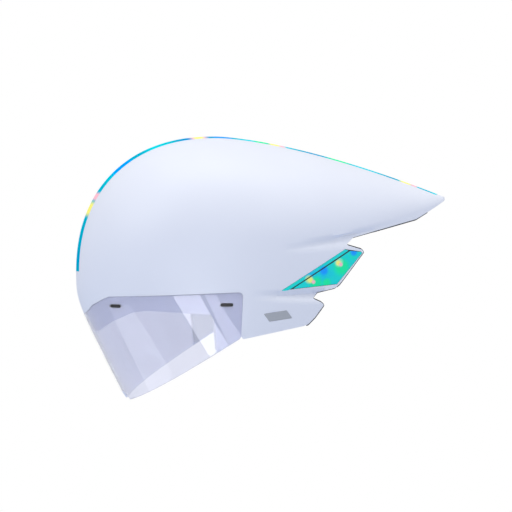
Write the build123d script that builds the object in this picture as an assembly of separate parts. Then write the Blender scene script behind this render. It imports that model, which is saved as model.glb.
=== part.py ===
from build123d import *
import math
import os

os.makedirs("parts", exist_ok=True)

# Aero time trial helmet, in millimetres. -X is the brow, +X the tail, -Y the wearer's left, +Z up.
# The origin is the middle of the space that the head fills, on the middle plane.
# The helmet lies nose down, as it was photographed: the head's own axes are turned by head_pitch.

# Outer form
overall_length = 360.0
brow_reach = 120.0
crown_place = 15.0
crown_height = 109.7
visor_depth = 144.5
shell_half_width = 98.0
brow_drop = 25.0
ridge_fullness = 2.28
tail_drop = 59.0
tail_half_width = 11.0
widest_level = 8.0
tail_widest_level = 46.0
visor_rake = 27.2
brow_round = 25.1
side_depth = 258.0
tail_rise_share = 0.85

# Walls and the clearances between layers
shell_wall = 2.0
lens_wall = 1.8
frame_wall = 2.0
trim_wall = 1.4
layer_gap = 0.3
inlay_wall = 0.8
inlay_gap = 0.1
edge_gap = 0.4
running_gap = 0.05
overrun = 40.0

# Head space
head_pitch = 27.5
head_reach = 101.0
head_half_width = 79.0
head_height = 86.0
head_depth = 200.0

tail_reach = overall_length - brow_reach
overall_height = crown_height + visor_depth
lens_depth = lens_wall + layer_gap
frame_depth = lens_depth + frame_wall
liner_depth = shell_wall + layer_gap
pocket_depth = frame_depth + layer_gap
rake_slope = math.tan(math.radians(visor_rake))
pitch = math.radians(head_pitch)
round_start = tail_reach - 2 * tail_half_width
tail_round_turn = math.radians(45)


# Side outlines, as shares of the overall length behind the brow and of the overall height above the chin

shell_edge_shares = [
    (0.416, 0.243), (0.582, 0.290), (0.594, 0.296), (0.6125, 0.321), (0.638, 0.368), (0.630, 0.378),
    (0.606, 0.393), (0.621, 0.416), (0.669, 0.431), (0.682, 0.445), (0.752, 0.566), (0.745, 0.575),
    (0.700, 0.593), (0.723, 0.621), (0.777, 0.641), (0.909, 0.686), (0.946, 0.714), (0.998, 0.754),
]
shell_top_shares = [
    (1.06, 0.79), (1.06, 1.05), (-0.05, 1.05), (-0.05, 0.10), (0.30, 0.17), (0.403, 0.264),
]
lens_edge_shares = [
    (-0.014, 0.236), (0.017, 0.320), (0.033, 0.365), (0.054, 0.386), (0.070, 0.399), (0.212, 0.407),
    (0.414, 0.419), (0.410, 0.247), (0.133, 0.0), (0.118, -0.0095), (-0.06, -0.0095),
]
view_edge_shares = [
    (0.006, 0.200), (0.0475, 0.2565), (0.085, 0.307), (0.132, 0.342), (0.167, 0.349), (0.332, 0.335),
    (0.339, 0.314), (0.350, 0.150), (0.350, -0.06), (-0.06, -0.06), (-0.06, 0.17),
]
under_chin_shares = [(-0.10, -0.141), (0.133, 0.004), (0.43, 0.264), (0.43, -0.2), (-0.10, -0.2)]
edge_corner = 1.6
lens_corner = 5.0


def spot(share):
    """Place on the middle plane of a pair of shares."""
    return (-brow_reach + share[0] * overall_length, -visor_depth + share[1] * overall_height)


def outline(shares, radius=edge_corner):
    """Flat side outline through a list of shares, its corners rounded."""
    return make_face(FilletPolyline(*[spot(s) for s in shares], radius=radius, close=True)).face()


def slab(face, half_width=shell_half_width + overrun):
    """Side outline carried through the whole width."""
    return extrude(Plane.XZ * face, amount=half_width, both=True)


# Layers of the form: each is the outer surface moved in by its inset

def brow_share(x, inset):
    """Height of a quarter round from the brow to the crown, from nothing to one."""
    across = min(1.0, (crown_place - x) / (brow_reach + crown_place - inset))
    return math.sqrt(max(0.0, 1 - across ** 2))


def ridge(x, inset):
    """Top line of a layer."""
    rise = crown_height + brow_drop - inset
    if x <= crown_place:
        across = min(1.0, (crown_place - x) / (brow_reach + crown_place - inset))
        return -brow_drop + rise * (1 - across ** ridge_fullness) ** (1 / ridge_fullness)
    along = (x - crown_place) / (tail_reach - crown_place)
    return rise - brow_drop - tail_drop * along ** 1.5


def widest(x, inset):
    """Level at which a layer is widest."""
    if x <= crown_place:
        return -brow_drop + (widest_level + brow_drop) * brow_share(x, inset)
    along = (x - crown_place) / (tail_reach - crown_place)
    return widest_level + (tail_widest_level - widest_level) * along ** 1.8


def keel(x, inset):
    """Bottom line of a layer: the raked front of the visor, then below the open side, rising to the tail."""
    bend = brow_round - inset * (1 / math.cos(math.radians(visor_rake)) - 1) / rake_slope
    reach = (x + brow_reach - inset) / rake_slope + bend
    front = max(0.0, reach ** 3 - bend ** 3) ** (1 / 3) + brow_drop + widest(x, inset)
    depth = side_depth
    if x > crown_place:
        depth *= 1 - tail_rise_share * ((x - crown_place) / (tail_reach - crown_place)) ** 3
    return widest(x, inset) - (front ** -8 + depth ** -8) ** (-1 / 8)


def half_width(x, inset):
    """Half of a layer's width, with a round tail end."""
    if x <= crown_place:
        return (shell_half_width - inset) * brow_share(x, inset)
    tip = tail_half_width - inset
    along = (x - crown_place) / (tail_reach - inset - crown_place)
    width = tip + (shell_half_width - inset - tip) * max(0.0, 1 - along ** 2) ** 1.2
    if x > round_start:
        width *= math.cos(tail_round_turn * (x - round_start) / (tail_reach - inset - round_start))
    return width


def section(x, inset, count=24):
    """Closed upright section of a layer."""
    top, level, low, width = ridge(x, inset), widest(x, inset), keel(x, inset), half_width(x, inset)
    crown_power = 2.2 if x <= crown_place else 2.2 - 0.35 * (x - crown_place) / (tail_reach - crown_place)
    points = []
    for step in range(count):
        turn = 2 * math.pi * step / count
        over, side = math.cos(turn), math.sin(turn)
        power = crown_power if over > 0 else 2
        reach = (abs(over) ** power + abs(side) ** power) ** (-1 / power)
        height = top - level if over > 0 else level - low
        points.append((x, width * reach * side, level + height * reach * over))
    marks = [step / count for step in range(count + 1)]
    return Wire([Edge.make_spline(points, periodic=True, parameters=marks)])


def layer(inset):
    """Solid bounded by the form moved in by an inset."""
    reach = brow_reach + crown_place - inset
    places = [crown_place - reach * math.cos(math.radians(t)) for t in (5, 10, 16, 24, 33, 43, 54, 65, 77)]
    places += [crown_place + (round_start - crown_place) * step / 10 for step in range(11)]
    places += [round_start + (tail_reach - inset - round_start) * step / 2 for step in (1, 2)]
    nose = Vertex(-brow_reach + inset, 0, -brow_drop)
    return Solid.make_loft([nose] + [section(x, inset) for x in places])


# Creases: two grooves a side that deepen towards the notches in the rear edge

crease_shares = [((0.545, 0.578), (0.790, 0.603)), ((0.462, 0.402), (0.680, 0.401))]
crease_start = 2.0
crease_end = 9.0
crease_stand = 0.4


def side_width(x, z):
    """Half-width of the outer form at one place of its side."""
    level = widest(x, 0)
    height = ridge(x, 0) - level if z > level else level - keel(x, 0)
    return half_width(x, 0) * math.sqrt(max(0.0, 1 - ((z - level) / height) ** 2))


def creases(inset):
    """Cones that cut the grooves, on both sides, grown by the layer's inset."""
    cones = []
    for start, end in crease_shares:
        (x0, z0), (x1, z1) = spot(start), spot(end)
        first = Vector(x0, -side_width(x0, z0) - crease_stand * crease_start, z0)
        last = Vector(x1, -side_width(x1, z1) - crease_stand * crease_end, z1)
        run = last - first
        cone = Solid.make_cone(crease_start + inset, crease_end + inset, run.length, Plane(first, z_dir=run))
        cones += [cone, cone.mirror(Plane.XZ)]
    return cones


# The layers that the hard pieces are cut from

outer = layer(0)
under_shell = layer(shell_wall)
under_lens = layer(lens_wall)
over_frame = layer(lens_depth)
under_frame = layer(frame_depth)
over_liner = layer(liner_depth)
under_pocket = layer(pocket_depth)
under_inlay = layer(inlay_wall)
under_inlay_pocket = layer(inlay_wall + inlay_gap)

shell_area = outline(shell_edge_shares + shell_top_shares)
lens_area = outline(lens_edge_shares)
view_area = outline(view_edge_shares)
chin_area = outline(under_chin_shares, 0)

creased_outer = outer - creases(0)
creased_under_shell = under_shell - creases(shell_wall)


def skin(high, low, tool):
    """What a tool holds of the form between two layers."""
    return (high & tool) - low


def largest(sketch):
    """Largest face of a flat outline."""
    return sketch.faces().sort_by(SortBy.AREA)[-1]


def grown(area, amount):
    """Side outline moved outwards, or inwards when the amount is negative."""
    return largest(offset(area, amount))


# Iridescent inlays: a stripe along the ridge, and a panel and a strip on each fin

stripe_half_width = 20.0
stripe_front_half_width = 12.0
stripe_tail_half_width = 7.0
stripe_front_level = -20.0
stripe_tail_gap = 7.0
stripe_step_shares = (0, 0.25, 0.5, 0.75, 1)
panel_shares = [(0.545, 0.428), (0.712, 0.571), (0.744, 0.567), (0.7475, 0.561), (0.6745, 0.445)]
strip_shares = [(0.514, 0.4215), (0.697, 0.577), (0.708, 0.5745), (0.536, 0.426)]
badge_shares = [(0.470, 0.338), (0.533, 0.350), (0.549, 0.320), (0.486, 0.308)]
panel_corner = 0.8


def stripe_side(start, end, last, slack):
    """Points along one edge of the stripe, widest at the start, in plan."""
    points = []
    for share in stripe_step_shares:
        width = last + (stripe_half_width - last) * (1 - share ** 2) - slack
        points.append((start + (end - start) * share, width))
    return points


def stripe_tool(slack):
    """Upright band over the ridge, widest at the crown and round at the tail."""
    back = tail_reach - stripe_tail_gap - slack
    narrow = stripe_tail_half_width - slack
    front = stripe_side(crown_place, -brow_reach - edge_gap, stripe_front_half_width, slack)
    rear = stripe_side(crown_place, back - narrow, stripe_tail_half_width, slack)
    edge = front[::-1] + rear[1:]
    far_edge = [(x, -y) for x, y in edge]
    plan = Spline(*edge) + Spline(*far_edge)
    plan += Line(edge[0], far_edge[0]) + ThreePointArc(edge[-1], (back, 0), far_edge[-1])
    low = stripe_front_level + slack
    return extrude(Plane.XY.offset(low) * make_face(plan).face(), amount=crown_height - low + overrun)


def left_side(shape):
    """The wearer's left half of a shape."""
    size = overall_length * 2
    return shape & (Pos(0, -size / 2, 0) * Box(size, size, size))


def make_inlay(shares):
    """Thin inlay on the left side, a little smaller than its pocket."""
    area = grown(outline(shares, panel_corner), -inlay_gap)
    return skin(left_side(slab(area) & creased_outer), under_inlay, slab(area))


def make_stripe():
    return skin(outer, under_inlay, stripe_tool(inlay_gap)).solids().sort_by(SortBy.VOLUME)[-1]


# Outer shell: open below, notched at the rear, recessed for the visor and pocketed for the inlays

def make_outer_shell():
    shell = (creased_outer & slab(shell_area)) - creased_under_shell
    shell -= slab(grown(lens_area, edge_gap))
    pockets = [slab(outline(shares, panel_corner)) for shares in (panel_shares, strip_shares, badge_shares)]
    shell -= skin(outer, under_inlay_pocket, pockets[0] + pockets[1] + pockets[2])
    return shell - skin(outer, under_inlay_pocket, stripe_tool(0))


# Magnets: dark pills flush in the visor and, behind them, in the frame

magnet_length = 12.5
magnet_side_length = 9.3
magnet_height = 3.4
front_magnet_share = (0.0875, 0.3646)
rear_magnet_share = (0.3705, 0.3725)


def magnet_tools(slack):
    """Pills through the sides at the four magnets, the front ones shorter as seen from the side."""
    tools = []
    for share, length in ((front_magnet_share, magnet_side_length), (rear_magnet_share, magnet_length)):
        x, z = spot(share)
        pill = Pos(x, z) * SlotOverall(length - 2 * slack, magnet_height - 2 * slack)
        tools.append(slab(pill.face()))
    return tools[0] + tools[1]


# Visor: a single curved lens with a nose arch, and its magnets

nose_arch_radius = 20.0
nose_arch_height = 9.5


def nose_arch():
    """Round bar along the head's own forward axis that cuts the arch over the nose."""
    x, z = spot(lens_edge_shares[8])
    down = nose_arch_radius - nose_arch_height
    centre = Vector(x + math.sin(pitch) * down, 0, z - math.cos(pitch) * down)
    forward = Vector(-math.cos(pitch), 0, -math.sin(pitch))
    return Plane(centre, z_dir=forward) * Cylinder(nose_arch_radius, 2 * overrun)


def make_visor_lens():
    lens = skin(outer, under_lens, slab(lens_area))
    return lens - nose_arch() - magnet_tools(0)


def make_visor_magnets():
    return skin(layer(inlay_gap), layer(lens_wall - inlay_gap), magnet_tools(inlay_gap))


# Frame: the ledge behind the visor, with its own magnets

frame_lap = 8.0


def make_visor_frame():
    area = (grown(lens_area, frame_lap) & grown(shell_area + lens_area, -edge_gap)) - chin_area
    frame = skin(over_frame, under_frame, slab(largest(area - view_area)))
    return frame - magnet_tools(0)


def make_frame_magnets():
    return skin(layer(lens_depth + inlay_gap), layer(frame_depth - inlay_gap), magnet_tools(inlay_gap))


# The head's own axes: local x backwards, y to the wearer's right, z up

head_plane = Plane(origin=(0, 0, 0), x_dir=(math.cos(pitch), 0, math.sin(pitch)),
                   z_dir=(-math.sin(pitch), 0, math.cos(pitch)))


def head_form(inset):
    """Dome over a straight open tube: the head's space moved in by an inset."""
    profile = Polyline((0, 1), (0, -head_depth / head_height), (1, -head_depth / head_height), (1, 0))
    dome = RadiusArc((1, 0), (0, 1), -1)
    face = Plane.XZ * make_face(profile + dome)
    unit = revolve(face, Axis.Z)
    size = (head_reach - inset, head_half_width - inset, head_height - inset)
    return head_plane * scale(unit, by=size)


def block(x, y, z):
    """Box from three pairs of limits, in the head's own axes."""
    size = (x[1] - x[0], y[1] - y[0], z[1] - z[0])
    middle = ((x[0] + x[1]) / 2, (y[0] + y[1]) / 2, (z[0] + z[1]) / 2)
    return head_plane * (Pos(*middle) * Box(*size))


def limits(shares):
    """Three pairs of limits from shares of the head's reach, half-width and height."""
    return [(low * size, high * size) for (low, high), size in
            zip(shares, (head_reach, head_half_width, head_height))]


# Foam liner: fills the form from the shell to the head, open at the face, the neck and the tail duct

liner_rim = 2.4
neck_half_width = 50.0
neck_shares = [(0.45, 0.52), (0.60, 0.655), (0.72, 0.655), (0.80, 0.60), (0.80, -0.1), (0.45, -0.1)]
duct_half_width = 20.0
duct_shares = [(0.50, 0.72), (0.66, 0.84), (0.86, 0.76), (0.90, 0.66), (0.76, 0.60), (0.66, 0.70)]
neck_corner = 10.0
pan_shares = [
    (0.717, 0.614), (0.777, 0.636), (0.909, 0.681), (0.9455, 0.709),
    (0.941, 0.7225), (0.907, 0.695), (0.775, 0.650), (0.715, 0.628),
]


creased_over_liner = over_liner - creases(liner_depth)


def make_liner():
    area = grown(shell_area + lens_area, -liner_rim) - chin_area - grown(view_area, layer_gap)
    area -= grown(outline(pan_shares, 0), layer_gap)
    liner = creased_over_liner & slab(largest(area))
    liner -= skin(under_shell, under_pocket, slab(grown(lens_area, frame_lap + layer_gap)))
    liner -= head_form(0)
    liner -= slab(outline(neck_shares, neck_corner), neck_half_width)
    return liner - slab(outline(duct_shares, neck_corner), duct_half_width)


# Closed underside of the tail, with vents at the end of the duct

vent_count = 5
vent_start_share = 0.785
vent_pitch = 9.0
vent_width = 5.0
vent_half_length = 15.0


def make_tail_pan():
    pan = creased_over_liner & slab(outline(pan_shares, 0))
    start = spot((vent_start_share, 0))[0]
    vent = Box(vent_width, 2 * vent_half_length, overall_height)
    return pan - [Pos(start + vent_pitch * step, 0, 0) * vent for step in range(vent_count)]


# Rubber trims along the rear edges of the fins and the ear covers

trim_proud = 1.1
trim_lap = 2.0
trim_reach_shares = [
    (0.59, 0.27), (0.80, 0.27), (0.80, 0.585), (0.7125, 0.606), (0.7125, 0.622), (0.69, 0.622),
    (0.665, 0.603), (0.59, 0.45),
]


def make_rear_trim():
    edge = grown(shell_area, trim_proud) - grown(shell_area, -trim_lap)
    edge = largest(edge & outline(trim_reach_shares, 0))
    low = shell_wall + trim_wall
    tool = left_side(slab(edge))
    return skin(creased_under_shell, layer(low) - creases(low), tool)


# Comfort pads inside the liner, each on hook dots

hook_wall = 1.2
hook_gap = 0.15
hook_size = 14.0
pad_wall = 6.0
pad_depth = hook_wall + 2 * hook_gap
brow_pad_shares = ((-1.09, -0.42), (-0.81, 0.81), (-0.11, 0.16))
crown_pad_shares = ((-0.58, 0.46), (-0.17, 0.17), (0.52, 1.1))
side_pad_shares = ((-0.28, 0.32), (-1.1, -0.5), (0.08, 0.35))
rear_pad_shares = ((0.50, 1.0), (-0.74, -0.20), (0.14, 0.40))
crown_side_shares = ((-0.40, 0.34), (-0.58, -0.28), (0.52, 1.1))


def make_pad(shares):
    return skin(head_form(pad_depth), head_form(pad_depth + pad_wall), block(*limits(shares)))


def make_dot(x, y, z):
    """One hook dot in the thin space between a pad and the liner."""
    reach = hook_size / 2
    near = [(x - reach, x + reach), (y - reach, y + reach), (z - reach, z + reach)]
    if z > head_height / 2:
        near[2] = (z, z + overrun)
    elif abs(x) > head_reach / 2:
        near[0] = (x, x + overrun) if x > 0 else (x - overrun, x)
    else:
        near[1] = (y - overrun, y)
    return skin(head_form(hook_gap), head_form(hook_gap + hook_wall), block(*near))


def make_hook_dots():
    """Three dots behind the brow pad, two along the crown and one behind each other pad."""
    brow, crown = [[sum(pair) / 2 for pair in limits(s)] for s in (brow_pad_shares, crown_pad_shares)]
    step = 2 * hook_size
    dots = [make_dot(*brow), make_dot(crown[0] - step, *crown[1:]), make_dot(crown[0] + step, *crown[1:])]
    places = [(brow[0], -step, brow[2])]
    for shares in (side_pad_shares, rear_pad_shares, crown_side_shares):
        places.append([sum(pair) / 2 for pair in limits(shares)])
    for place in places:
        dots += [make_dot(*place), mirror(make_dot(*place), about=Plane.XZ)]
    return Compound(children=[solid for dot in dots for solid in dot.solids()])


# Nape cradle: a band round the back of the head, with an arm on each side in a guide

band_reach = 95.0
band_half_width = 70.0
band_wall = 2.2
band_top = -2.0
band_low = -14.0
cradle_front = 50.0
arm_front = -24.0
cradle_rear_shares = [(1.07, 0.0), (1.07, -0.19), (0.57, -0.28), (0.24, -0.52), (0.24, -0.84)]
cradle_corner = 4.0
guide_front = -36.0
guide_back = -10.0
guide_inner = 63.5
guide_wall = 1.6
slot_gap = 0.3


def band(grow=0.0):
    """Upright oval bar, in the head's own axes, of the band's outer size."""
    oval = Ellipse(band_reach + grow, band_half_width + grow)
    return head_plane * (Pos(0, 0, -head_depth / 2) * extrude(oval, amount=head_depth))


def make_cradle():
    points = [(y * band_half_width, z * head_height) for y, z in cradle_rear_shares]
    points += [(-y, z) for y, z in reversed(points)]
    face = make_face(FilletPolyline(*points, radius=cradle_corner, close=True)).face()
    view = Plane(origin=(cradle_front, 0, 0), x_dir=(0, 1, 0), z_dir=(1, 0, 0)) * face
    tool = head_plane * extrude(view, amount=overrun * 2)
    width = (-2 * band_half_width, 2 * band_half_width)
    tool &= block((cradle_front, band_reach + overrun), width, (-head_depth, band_top))
    return (band() & tool) - band(-band_wall)


def make_arm():
    outside = (-2 * band_half_width, -band_half_width / 2)
    tool = block((arm_front, cradle_front), outside, (band_low, band_top))
    return skin(band(), band(-band_wall), tool)


def make_guide():
    """Sleeve on the liner that an arm slides in."""
    low, top = band_low - slot_gap, band_top + slot_gap
    along = (guide_front, guide_back)
    body = block(along, (-head_half_width, -guide_inner), (low - guide_wall, top + guide_wall))
    slot = block(along, (-band_half_width - slot_gap, -guide_inner - guide_wall), (low, top))
    return (body & head_form(hook_gap)) - slot


def make_cradle_pad():
    inner = -band_wall - slot_gap
    along, up = (cradle_front + overrun / 2, band_reach), (-overrun / 2, band_top + inner)
    tool = block(along, (-overrun, overrun), up)
    return skin(band(inner), band(inner - pad_wall / 2), tool)


# Dial at the nape: a housing on the cradle, and a knob on a spool that winds the lace

dial_level = -56.0
housing_radius = 14.0
housing_top = 103.0
housing_wall = 1.5
knob_radius = 13.0
knob_length = 7.5
knob_web = 1.6
flute_count = 16
flute_radius = 1.3
shaft_radius = 3.0
spool_radius = 5.0
spool_flange_radius = 8.0
spool_flange = 0.8
spool_length = 4.6
screw_radius = 1.5
screw_head_radius = 2.8
screw_head = 1.6
pawl_wall = 0.8
pawl_height = 2.0
lace_radius = 0.6
lace_stand = 1.2
lace_turns = (4, 20, 38, 54, 66)

cavity_top = housing_top - housing_wall
cavity_radius = housing_radius - housing_wall - pawl_wall
spool_top = cavity_top - slot_gap
spool_start = spool_top - spool_length
knob_start = housing_top + slot_gap
knob_end = knob_start + knob_length
shaft_end = knob_end - screw_head - knob_web


def on_dial(x):
    """Plane across the dial's axis at a distance back from the head's middle."""
    return head_plane * Pos(x, 0, dial_level) * Rot(0, 90, 0)


def rod(start, end, radius):
    """Cylinder along the dial's axis between two distances."""
    return on_dial((start + end) / 2) * Cylinder(radius, end - start)


def make_dial_housing():
    body = rod(band_reach - band_wall, housing_top, housing_radius)
    body -= rod(band_reach - band_wall, cavity_top, cavity_radius)
    body -= rod(cavity_top, housing_top, shaft_radius + running_gap)
    return body - band()


def make_dial_knob():
    knob = rod(knob_start, knob_end, knob_radius)
    for step in range(flute_count):
        turn = math.radians(360 * step / flute_count)
        place = Pos(math.cos(turn) * knob_radius, math.sin(turn) * knob_radius, 0)
        knob -= on_dial((knob_start + knob_end) / 2) * place * Cylinder(flute_radius, 2 * knob_length)
    knob -= rod(knob_start, shaft_end, shaft_radius)
    knob -= rod(shaft_end, knob_end, screw_radius)
    return knob - rod(knob_end - screw_head, knob_end, screw_head_radius + running_gap)


def make_dial_spool():
    spool = rod(spool_start, spool_top, spool_radius) + rod(spool_start, shaft_end, shaft_radius)
    spool += rod(spool_start, spool_start + spool_flange, spool_flange_radius)
    spool += rod(spool_top - spool_flange, spool_top, spool_flange_radius)
    return spool - rod(spool_top, shaft_end, screw_radius)


def make_dial_screw():
    head = rod(knob_end - screw_head, knob_end, screw_head_radius)
    return head + rod(spool_top, knob_end - screw_head, screw_radius)


def make_dial_pawl():
    """Spring ring with a gap, seated in the housing round the spool."""
    ring = rod(cavity_top - pawl_height, cavity_top, cavity_radius)
    ring -= rod(cavity_top - pawl_height, cavity_top, cavity_radius - pawl_wall)
    gap = Box(2 * housing_radius, spool_radius, 3 * pawl_height)
    return ring - on_dial(cavity_top) * Pos(-housing_radius, 0, 0) * gap


def make_lace():
    """Lace from both arms over the cradle to the dial's housing."""
    level = (band_top + band_low) / 2
    reach, width = [size + lace_radius + lace_stand for size in (band_reach, band_half_width)]
    turns = [math.radians(turn) for turn in lace_turns]
    points = [(math.sin(turn) * reach, -math.cos(turn) * width, level) for turn in turns]
    points.append((reach, -1.4 * housing_radius, (level + dial_level) / 2))
    points.append((reach, -0.75 * housing_radius, dial_level + 0.75 * housing_radius))
    path = FilletPolyline(*points, radius=housing_radius / 4)
    lace = head_plane * sweep(Plane(path @ 0, z_dir=path % 0) * Circle(lace_radius), path=path)
    return Compound(children=lace.solids() + mirror(lace, about=Plane.XZ).solids())


# Straps: anchors on the liner, webbing to a divider below each ear, and a chin strap stowed round the nape

strap_width = 15.0
strap_wall = 1.6
anchor_length = 14.0
anchor_wall = 4.0
front_anchor_share = (0.372, 0.435)
rear_anchor_share = (0.565, 0.470)
divider_share = (0.452, 0.325)
front_anchor_half_width = 73.0
rear_anchor_half_width = 56.0
divider_half_width = 69.0
divider_length = 24.0
divider_height = 20.0
divider_wall = 3.0


def side_place(share, half):
    """Place on the wearer's left."""
    x, z = spot(share)
    return Vector(x, -half, z)


def webbing(share, half):
    """Plane of a side strap, local x running from its anchor to the divider, and the run's length."""
    start, end = side_place(share, half), side_place(divider_share, divider_half_width)
    run = end - start
    inwards = Vector(0, 1, 0) - run * (run.Y / run.length ** 2)
    return Plane(origin=start, x_dir=run, z_dir=inwards), run


def make_side_strap(share, half):
    """Webbing from the end of its anchor to the corner of the divider."""
    place, run = webbing(share, half)
    corner = (abs(run.X) * divider_length + abs(run.Z) * divider_height) / 2 / math.hypot(run.X, run.Z)
    start, end = anchor_length / 2, run.length - corner - slot_gap
    return place * (Pos((start + end) / 2, 0, 0) * Box(end - start, strap_width, strap_wall))


def make_anchor(share, half):
    """Block between the liner and the head that holds the end of a strap."""
    place = webbing(share, half)[0]
    body = Box(anchor_length, strap_width, anchor_wall + overrun)
    return (place * (Pos(0, 0, -overrun / 2) * body)) & head_form(hook_gap)


def make_anchors():
    left = make_anchor(front_anchor_share, front_anchor_half_width).solids()
    left += make_anchor(rear_anchor_share, rear_anchor_half_width).solids()
    return Compound(children=left + [mirror(solid, about=Plane.XZ) for solid in left])


# Dividers: a plate below each ear with a lever that turns on a pin

lever_length = 17.0
lever_height = 15.0
lever_wall = 2.0
pin_radius = 1.0
barrel_radius = 1.9
ear_wall = 2.0
pin_stand = 2.2
slot_width = 2.4
pin_inset = 2.9


def divider_axes():
    """Divider's own axes: x back, y down, z in towards the head."""
    return Plane(origin=side_place(divider_share, divider_half_width), x_dir=(1, 0, 0), z_dir=(0, 1, 0))


def pin_bar(radius, length):
    """Bar along the lever's pin, in the divider's axes."""
    place = Pos(pin_inset - divider_length / 2, 0, divider_wall / 2 + pin_stand)
    return place * Rot(90, 0, 0) * Cylinder(radius, length)


def make_divider():
    body = Box(divider_length, divider_height, divider_wall)
    ear_height = pin_stand + barrel_radius
    ear = Box(2 * barrel_radius, ear_wall, ear_height)
    for side in (-1, 1):
        y = side * (divider_height - ear_wall) / 2
        body += Pos(pin_inset - divider_length / 2, y, (divider_wall + ear_height) / 2) * ear
        body -= Pos(side * divider_length / 3, 0, 0) * Box(slot_width, strap_width, 2 * divider_wall)
    return divider_axes() * (body - pin_bar(pin_radius, divider_height))


def make_lever():
    x = pin_inset + (lever_length - divider_length) / 2
    lever = pin_bar(barrel_radius, lever_height)
    lever += Pos(x, 0, divider_wall / 2 + pin_stand) * Box(lever_length, lever_height, lever_wall)
    return divider_axes() * (lever - pin_bar(pin_radius + running_gap, lever_height))


def make_lever_pin():
    return divider_axes() * pin_bar(pin_radius, divider_height)


# Side-release buckle at the nape, a sleeve on the left strap and a plug with prongs on the right one

stow_shares = [(0.733, 0.835), (0.900, 0.633), (0.960, 0.400), (0.960, 0.285)]
stow_level_share = 0.3405
stow_corner = 16.0
buckle_height = 20.0
buckle_wall = 8.0
buckle_skin = 1.4
buckle_split = 2.0
prong_length = 16.0
prong_height = 3.4
prong_gap = 0.4
keeper_length = 8.0
keeper_wall = 1.5

stow_level = spot((0, stow_level_share))[1]
stow_plan = [(x * head_reach, -y * head_half_width) for x, y in stow_shares]
buckle_place, buckle_reach = stow_plan[-1]


def make_chin_strap():
    """Upright webbing from behind the divider to the buckle."""
    start = side_place(divider_share, divider_half_width)
    points = [(start.X + divider_length / 2 + slot_gap, start.Y)] + stow_plan
    face = trace(FilletPolyline(*points, radius=stow_corner), strap_wall)
    return Pos(0, 0, stow_level - strap_width / 2) * extrude(face, amount=strap_width)


def buckle_box(start, end, wall, height):
    """Box of the buckle between two places across the helmet."""
    return Pos(buckle_place, (start + end) / 2, stow_level) * Box(wall, end - start, height)


def make_buckle_sleeve():
    sleeve = buckle_box(buckle_reach, buckle_split, buckle_wall, buckle_height)
    start = buckle_split - prong_length - prong_gap
    hollow = (buckle_wall - 2 * buckle_skin, buckle_height - 2 * buckle_skin)
    return sleeve - buckle_box(start, buckle_split, *hollow)


def make_buckle_plug():
    plug = buckle_box(buckle_split + prong_gap, -buckle_reach, buckle_wall, buckle_height)
    inner = 2 * buckle_skin + 2 * prong_gap
    start = buckle_split - prong_length
    for side in (-1, 0, 1):
        prong = buckle_box(start, buckle_split + prong_gap, buckle_wall - inner, prong_height)
        plug += Pos(0, 0, side * (buckle_height - inner - prong_height) / 2) * prong
    return plug


def make_strap_keeper():
    """Rubber loop round the left chin strap, on its straight run."""
    (x0, y0), (x1, y1) = stow_plan[:2]
    middle = ((x0 + x1) / 2, (y0 + y1) / 2, stow_level)
    place = Plane(origin=middle, x_dir=(x1 - x0, y1 - y0, 0), z_dir=(0, 0, 1))
    hole = (strap_wall + 2 * slot_gap, strap_width + 2 * slot_gap)
    ring = Box(keeper_length, hole[0] + 2 * keeper_wall, hole[1] + 2 * keeper_wall)
    return place * (ring - Box(keeper_length, *hole))


pieces = {
    "outer_shell": make_outer_shell(),
    "centre_stripe": make_stripe(),
    "visor_lens": make_visor_lens(),
    "visor_magnets": make_visor_magnets(),
    "visor_frame": make_visor_frame(),
    "frame_magnets": make_frame_magnets(),
    "eps_liner": make_liner(),
    "tail_pan": make_tail_pan(),
    "brow_pad": make_pad(brow_pad_shares),
    "crown_pad": make_pad(crown_pad_shares),
    "hook_dots": make_hook_dots(),
    "nape_cradle": make_cradle(),
    "cradle_pad": make_cradle_pad(),
    "dial_housing": make_dial_housing(),
    "dial_knob": make_dial_knob(),
    "dial_spool": make_dial_spool(),
    "dial_screw": make_dial_screw(),
    "dial_pawl": make_dial_pawl(),
    "tension_lace": make_lace(),
    "strap_anchors": make_anchors(),
    "buckle_sleeve": make_buckle_sleeve(),
    "buckle_plug": make_buckle_plug(),
    "strap_keeper": make_strap_keeper(),
}
pairs = {
    "fin_panel": make_inlay(panel_shares),
    "fin_strip": make_inlay(strip_shares),
    "ear_badge": make_inlay(badge_shares),
    "rear_trim": make_rear_trim(),
    "side_pad": make_pad(side_pad_shares),
    "rear_pad": make_pad(rear_pad_shares),
    "crown_side_pad": make_pad(crown_side_shares),
    "cradle_arm": make_arm(),
    "arm_guide": make_guide(),
    "front_strap": make_side_strap(front_anchor_share, front_anchor_half_width),
    "rear_strap": make_side_strap(rear_anchor_share, rear_anchor_half_width),
    "chin_strap": make_chin_strap(),
    "strap_divider": make_divider(),
    "cam_lever": make_lever(),
    "lever_pin": make_lever_pin(),
}
for name, piece in pairs.items():
    pieces[f"{name}_left"] = piece
    pieces[f"{name}_right"] = mirror(piece, about=Plane.XZ)

for name, piece in pieces.items():
    solids = piece.solids()
    export_step(Compound(children=solids), f"parts/{name}.step")
    print(name, len(solids), round(sum(solid.volume for solid in solids)))
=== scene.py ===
import bpy
import bmesh
import math
from mathutils import Vector, Matrix
from mathutils.bvhtree import BVHTree


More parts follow.
